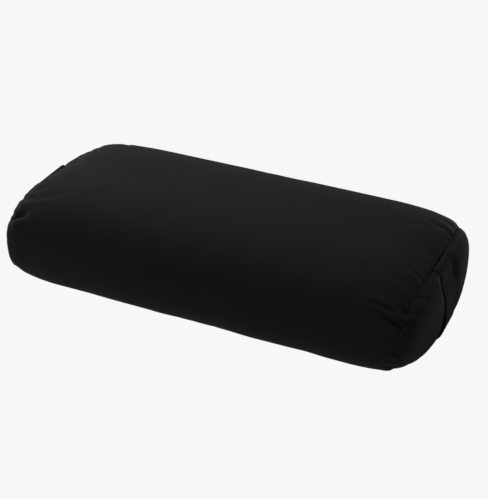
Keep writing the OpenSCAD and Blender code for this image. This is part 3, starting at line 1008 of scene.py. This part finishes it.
for name, side in SIDES.items():
    path, outward, run = strap_path(side)
    strap = band(f"handle_strap_{name}_cloth", path, outward, STRAP_HALF, STRAP_THICK / 2, EDGE_STITCH)
    finish_piece(strap, f"handle_strap_{name}", strap_cloth)
    lift_with_handle(strap)
    stitching = strap_stitching(f"handle_stitching_{name}_thread", path, outward, run)
    finish_piece(stitching, f"handle_stitching_{name}", black_thread)
    lift_with_handle(stitching)

# ---- Zipper ----

COIL_WIRE = 0.33 * MM  # radius of the coil's filament
COIL_PITCH = 1.5 * MM
COIL_ROOT = 2.7 * MM  # from the middle line to the back of each loop
COIL_HEAD = 0.75 * MM  # how far each loop's head reaches past the middle line
COIL_DEEP = coil_high.y - coil_low.y
LOOP_POINTS = 14
LOOP_ROUND = 0.7  # below 1, a loop is squarer than an ellipse
TOPSTITCH = 6.5 * MM  # from the zipper's middle line to each row of topstitching
TOPSTITCH_COLUMNS = {1: 3, -1: -4}  # the net's column nearest to each row


def coil(name, side):
    """One coil: flattened loops, each joined to the next along the tape, meshing with the other coil's."""
    start = coil_low.x + (0 if side > 0 else COIL_PITCH / 2)
    loops = int((coil_high.x - coil_low.x) / COIL_PITCH) - 1
    turn = np.arange(loops * LOOP_POINTS) / LOOP_POINTS
    angle = 2 * math.pi * turn
    advance = np.floor(turn) + smooth((turn % 1 - 0.5) * 2)
    reach = (COIL_ROOT + COIL_HEAD) / 2 - COIL_WIRE
    middle = (COIL_ROOT - COIL_HEAD) / 2
    x = start + COIL_PITCH * advance
    z = ZIP_Z + side * (middle - reach * signed_power(np.cos(angle), LOOP_ROUND))
    deep = COIL_DEEP / 2 - COIL_WIRE
    y = (coil_low.y + coil_high.y) / 2 + deep * signed_power(np.sin(angle), LOOP_ROUND)
    return tubes(name, np.stack([x, y, z], axis=1)[None], np.array([1.0, 0.0, 0.0]), COIL_WIRE, 6)


for name, side in (("upper", 1), ("lower", -1)):
    loops = coil(f"zipper_coil_{name}_loops", side)
    finish_on_cushion(loops, f"zipper_coil_{name}", coil_nylon)


def topstitch_rows(name):
    """A row of stitches through each cloth lip and its tape."""
    count = int((OPENING_HALF - STITCH_PITCH) / STITCH_PITCH)
    x = np.arange(-count, count + 1) * STITCH_PITCH
    ahead = np.tile([1.0, 0, 0], (len(x), 1))
    outward = np.tile([0, 1.0, 0], (len(x), 1))
    rows = []
    for side, column in TOPSTITCH_COLUMNS.items():
        lip = skin[SLEEVE[:, column]]
        y = np.interp(x, lip[:, 0], lip[:, 1])
        row = np.stack([x, y, np.full(len(x), ZIP_Z + side * TOPSTITCH)], axis=1)
        rows.append(stitch_paths(row, ahead, outward, STITCH, THREAD))
    return tubes(name, np.concatenate(rows), np.array([0.0, 0.0, 1.0]), THREAD)


topstitching = topstitch_rows("zipper_topstitching_thread")
finish_on_cushion(topstitching, "zipper_topstitching", black_thread)


def dress(node, material, bevel=None):
    """Gives a carried-over CAD node its material, and rounds its edges."""
    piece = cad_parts[node]
    piece.data.materials.clear()
    piece.data.materials.append(material)
    if bevel:
        rounding = piece.modifiers.new("rounded", "BEVEL")
        rounding.width = bevel
        rounding.segments = 2
        rounding.limit_method = "ANGLE"
        rounding.angle_limit = math.radians(35)
        rounding.harden_normals = False


for node in ("zipper_tape_upper", "zipper_tape_lower"):
    dress(node, tape_cloth)
for node in ("zipper_top_stops", "zipper_bottom_stop"):
    dress(node, trim_metal, bevel=0.12 * MM)
for node in ("zipper_slider", "zipper_pull"):
    dress(node, trim_metal, bevel=0.2 * MM)
dress("liner_closing_stitches", natural_thread)

# ---- Layers inside ----

LINER_DEPTH = 3.5 * MM  # from the cover's outer face to the liner's
LINER_CLOTH = 0.7 * MM
LINER_FOLD = 0.8 * MM
LINER_ALLOWANCE = 2 * MM
BATTING_DEPTH = 5.6 * MM
SEAM_ROOM = 6 * MM  # how much deeper the layers run under the cover's end seams,
SEAM_ROOM_REACH = 9 * MM  # and this far beside them
LEAST_DEPTH = 0.9  # share of its depth that a smoothed layer keeps everywhere


def drawn_in(depth, rounds):
    """The net's points on a smoother surface that lies at least nearly this deep inside the cover."""
    deep = depth + SEAM_ROOM * np.exp(-(FROM_SEAM / SEAM_ROOM_REACH) ** 2)
    points = skin - skin_normals * deep[:, None]
    ends = np.concatenate([FACES[:, [n, (n + 1) % 4]] for n in range(4)])
    count = np.bincount(ends.ravel(), minlength=len(points))[:, None]
    for _ in range(rounds):
        total = np.zeros_like(points)
        np.add.at(total, ends[:, 0], points[ends[:, 1]])
        np.add.at(total, ends[:, 1], points[ends[:, 0]])
        points = (points + total / count) / 2
    short = LEAST_DEPTH * deep - np.einsum("ij,ij->i", skin - points, skin_normals)
    return points - skin_normals * np.maximum(short, 0)[:, None]


COARSE_SLEEVE = SLEEVE[::2, ::2]
COARSE_PANELS = {side: index[::2, ::2] for side, index in PANELS.items()}

liner = drawn_in(LINER_DEPTH, 3)
liner_normals = normals_of(liner, FACES)
liner_sleeve = cut_sleeve("liner_sleeve_muslin", liner, liner_normals, COARSE_SLEEVE, LINER_FOLD,
                          LINER_ALLOWANCE, 0, LINER_FOLD)
finish_on_cushion(liner_sleeve, "liner_sleeve", muslin, LINER_CLOTH)
for name, side in SIDES.items():
    end = cut_panel(f"liner_end_{name}_muslin", liner, liner_normals, COARSE_PANELS[side], side, LINER_FOLD,
                    LINER_ALLOWANCE, SEAM_GAP)
    finish_on_cushion(end, f"liner_end_{name}", muslin, LINER_CLOTH)

foam_half = (foam_high - foam_low) / 2
foam_middle = (foam_high + foam_low) / 2
FOAM_GAP = 0.3 * MM
BOX_POWER = 16  # squareness of the foam and of the cavity that it fills
BATTING_GAP = 1 * MM  # between the wrap and the pad at each end, and a pad's least thickness


def cavity(rings):
    """For each point of the wrap's rings, the point of the foam's cavity that lies inside it."""
    y = rings[..., 1]
    z = rings[..., 2] - foam_middle.z
    wide, high = foam_half.y + FOAM_GAP, foam_half.z + FOAM_GAP
    reach = ((np.abs(y) / wide) ** BOX_POWER + (np.abs(z) / high) ** BOX_POWER) ** (-1 / BOX_POWER)
    return np.stack([rings[..., 0], y * reach, foam_middle.z + z * reach], axis=-1)


filling = drawn_in(BATTING_DEPTH, 8)
wrap = filling[COARSE_SLEEVE[1:-1, :-1]]
rings = np.concatenate([wrap, cavity(wrap)[::-1]])
index = looped(numbered(rings.shape[:2]))
index = np.concatenate([index, index[:1]])
batting = new_object("batting_wrap_fibre", rings.reshape(-1, 3), grid_faces(index))
finish_on_cushion(batting, "batting_wrap", batting_fibre)


def batting_end(name, side):
    """A pad whose outer face follows the cover's end, and whose inner face is flat."""
    front = filling[COARSE_PANELS[side]]
    if side > 0:
        front = front[:, ::-1]
    back = front.copy()
    back[..., 0] = side * (np.abs(wrap[..., 0]).max() + BATTING_GAP)
    front[..., 0] = side * np.maximum(np.abs(front[..., 0]), np.abs(back[..., 0]) + BATTING_GAP)
    return slab(name, front, back)


for name, side in SIDES.items():
    end = batting_end(f"batting_end_{name}_fibre", side)
    finish_on_cushion(end, f"batting_end_{name}", batting_fibre)

FOAM_EDGE = 3 * MM  # radius of the foam's edges
FOAM_UNEVEN = 0.25 * MM  # how uneven its cut faces are
FOAM_UNEVEN_SCALE = 18  # hollows per metre
FOAM_CELLS = 60  # along the slab
FOAM_ROUND = 160  # points round it
FOAM_END_RINGS = (9 * MM, 18 * MM, 27 * MM)  # how far in the rings on its end faces lie


def foam_rings():
    """The foam slab's outline at each station along X: full in the middle, drawn in over its rounded ends."""
    turn = np.linspace(0, math.pi / 2, 5)
    round_x = foam_half.x - FOAM_EDGE * (1 - np.sin(turn))
    end_x = np.concatenate([round_x, np.full(len(FOAM_END_RINGS), foam_half.x)])
    end_inset = np.concatenate([FOAM_EDGE * (1 - np.cos(turn)), FOAM_END_RINGS])
    xs = np.concatenate([-end_x[::-1], np.linspace(-1, 1, FOAM_CELLS + 1)[1:-1] * end_x[0], end_x])
    inset = np.concatenate([end_inset[::-1], np.zeros(FOAM_CELLS - 1), end_inset])[:, None]
    angle = np.arange(FOAM_ROUND) / FOAM_ROUND * 2 * math.pi
    wide = signed_power(np.cos(angle), 2 / BOX_POWER) * (foam_half.y - inset)
    high = signed_power(np.sin(angle), 2 / BOX_POWER) * (foam_half.z - inset)
    rings = np.stack([np.repeat(xs[:, None], len(angle), axis=1), wide, high + foam_middle.z], axis=-1)
    uneven = np.array([noise.noise(Vector(p) * FOAM_UNEVEN_SCALE) for p in rings.reshape(-1, 3)])
    uneven = 1 + uneven.reshape(rings.shape[:2])[..., None]
    rings[..., 1:] -= np.sign(rings[..., 1:] - [0, foam_middle.z]) * FOAM_UNEVEN * uneven
    return rings


rings = foam_rings()
foam = new_object("foam_core_cells", rings.reshape(-1, 3), capped(numbered(rings.shape[:2])))
finish_on_cushion(foam, "foam_core", foam_cells)

LABEL_THICK = 0.25 * MM
LABEL_CELLS = (40, 24)
LABEL_RIPPLE = 0.12 * MM
RIPPLE_TURNS = (190, 230)  # how fast the ripple goes along and across the label, in radians per metre


def label_face(height):
    """The label's outline as a grid that ripples slightly about a height."""
    along, across = np.meshgrid(np.linspace(label_low.x, label_high.x, LABEL_CELLS[0] + 1),
                                np.linspace(label_low.y, label_high.y, LABEL_CELLS[1] + 1))
    ripple = LABEL_RIPPLE * np.sin(along * RIPPLE_TURNS[0]) * np.cos(across * RIPPLE_TURNS[1])
    return np.stack([along, across, height + ripple], axis=-1)


label_z = (label_low.z + label_high.z) / 2
front = label_face(label_z + LABEL_THICK / 2)
back = label_face(label_z - LABEL_THICK / 2)
label = slab("care_label_satin", front, back)
add_uv(label.data, np.concatenate([front.reshape(-1, 3), back.reshape(-1, 3)])[:, :2])
finish_on_cushion(label, "care_label", label_satin)

# ---- Stage, light and camera ----

BACKDROP = 0.93  # brightness of the floor and the backdrop, as the camera sees them
AMBIENT = 0.004  # brightness of the world that lights the cushion
FLOOR_HALF = 6.0
FLOOR_DROP = 0.2 * MM  # between the cushion's underside and the floor


def floor_material():
    """Flat for the camera, and pale, slightly mottled ground for every other ray."""
    material, tree = new_material("pale_floor")
    grain = spots(tree, 6, detail=2)
    tone = between(tree, grain, 0.78, 0.82)
    diffuse = add(tree, "BsdfDiffuse", {"Color": tone})
    flat = add(tree, "Emission", {"Color": (BACKDROP, BACKDROP, BACKDROP, 1), "Strength": 1.0})
    camera_ray = add(tree, "LightPath", {}, output="Is Camera Ray")
    add_output(tree, add(tree, "MixShader", {0: camera_ray, 1: diffuse, 2: flat}))
    return material


def make_world():
    """As bright as the backdrop for the camera, and nearly dark for every other ray."""
    world = bpy.data.worlds.new("studio")
    bpy.context.scene.world = world
    world.use_nodes = True
    tree = world.node_tree
    tree.nodes.clear()
    camera_ray = add(tree, "LightPath", {}, output="Is Camera Ray")
    strength = between(tree, camera_ray, AMBIENT, BACKDROP)
    light = add(tree, "Background", {"Color": (1, 1, 1, 1), "Strength": strength})
    add_output(tree, light, kind="World")


def lamp(name, place, size, power):
    """A square softbox facing the cushion."""
    light = bpy.data.lights.new(name, "AREA")
    light.energy = power
    light.size = size
    holder = bpy.data.objects.new(name, light)
    bpy.context.scene.collection.objects.link(holder)
    holder.location = place
    holder.rotation_mode = "QUATERNION"
    holder.rotation_quaternion = (Vector(place) - Vector((0, 0, CROWN_MIDDLE))).to_track_quat("Z", "Y")


corners = ((-1, -1), (1, -1), (1, 1), (-1, 1))
floor = new_object("floor", np.array([(x * FLOOR_HALF, y * FLOOR_HALF, -FLOOR_DROP) for x, y in corners]),
                   [(0, 1, 2, 3)])
floor.data.materials.append(floor_material())
make_world()
lamp("key", (-1.2, 0.9, 1.1), 0.8, 4.3)
lamp("overhead", (0.0, 0.2, 1.8), 1.2, 2.4)
lamp("over_left", (-0.8, 0.2, 1.7), 1.0, 4.4)
lamp("over_front", (0.0, -0.8, 1.7), 1.0, 2.2)
lamp("front_fill", (-0.6, -1.6, 0.9), 1.0, 2.4)
lamp("right_low", (1.9, -0.2, 0.25), 0.8, 0.7)
bpy.context.scene.view_settings.view_transform = "Standard"

CAMERA_TURN = math.radians(24.92)
CAMERA_RISE = math.radians(31.45)
CAMERA_AWAY = 1.8007
CAMERA_AIM = 75 * MM  # height of the point that the camera stands off from
CAMERA_SHIFT = (11.3 * MM, -1.1 * MM)  # how far the aim is off that point, to the right and up
CAMERA_LENS = 85.4

camera_data = bpy.data.cameras.new("camera")
camera_data.lens = CAMERA_LENS
camera = bpy.data.objects.new("camera", camera_data)
bpy.context.scene.collection.objects.link(camera)
bpy.context.scene.camera = camera
back = Vector((math.sin(CAMERA_TURN) * math.cos(CAMERA_RISE),
               -math.cos(CAMERA_TURN) * math.cos(CAMERA_RISE),
               math.sin(CAMERA_RISE)))
right = Vector((math.cos(CAMERA_TURN), math.sin(CAMERA_TURN), 0))
up = back.cross(right)
aim = Vector((0, 0, CAMERA_AIM)) + right * CAMERA_SHIFT[0] + up * CAMERA_SHIFT[1]
camera.location = aim + back * CAMERA_AWAY
camera.rotation_mode = "QUATERNION"
camera.rotation_quaternion = (-back).to_track_quat("-Z", "Y")
